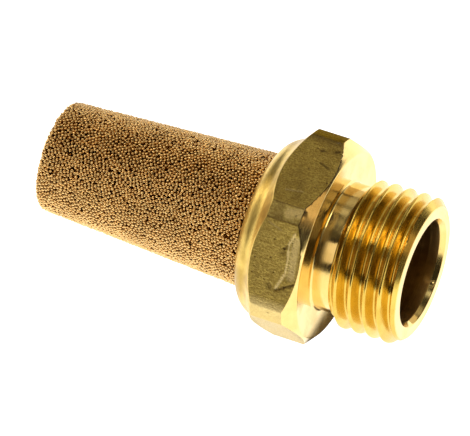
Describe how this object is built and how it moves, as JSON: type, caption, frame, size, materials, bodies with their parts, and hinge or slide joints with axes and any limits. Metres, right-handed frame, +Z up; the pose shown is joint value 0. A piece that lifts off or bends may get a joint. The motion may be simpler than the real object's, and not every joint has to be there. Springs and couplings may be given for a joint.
{
  "type": "pneumatic muffler",
  "caption": "Screw-in pneumatic exhaust muffler: a tapered porous bronze cup held in a brass hexagon body with a parallel male thread and a through bore.",
  "frame": {"origin": "on the axis, in the plane of the sealing face where the hexagon meets the thread's relief", "axes": "+X along the axis, out of the threaded end; +Z up, square to one pair of the hexagon's flats"},
  "size_m": [0.0344, 0.0188, 0.017],
  "materials": {
    "turned_brass": "turned, satin to bright",
    "sintered_bronze": "porous, made of sintered balls"
  },
  "bodies": {
    "root": {"threaded_body": "turned_brass", "sintered_cup": "sintered_bronze"}
  },
  "joints": []
}
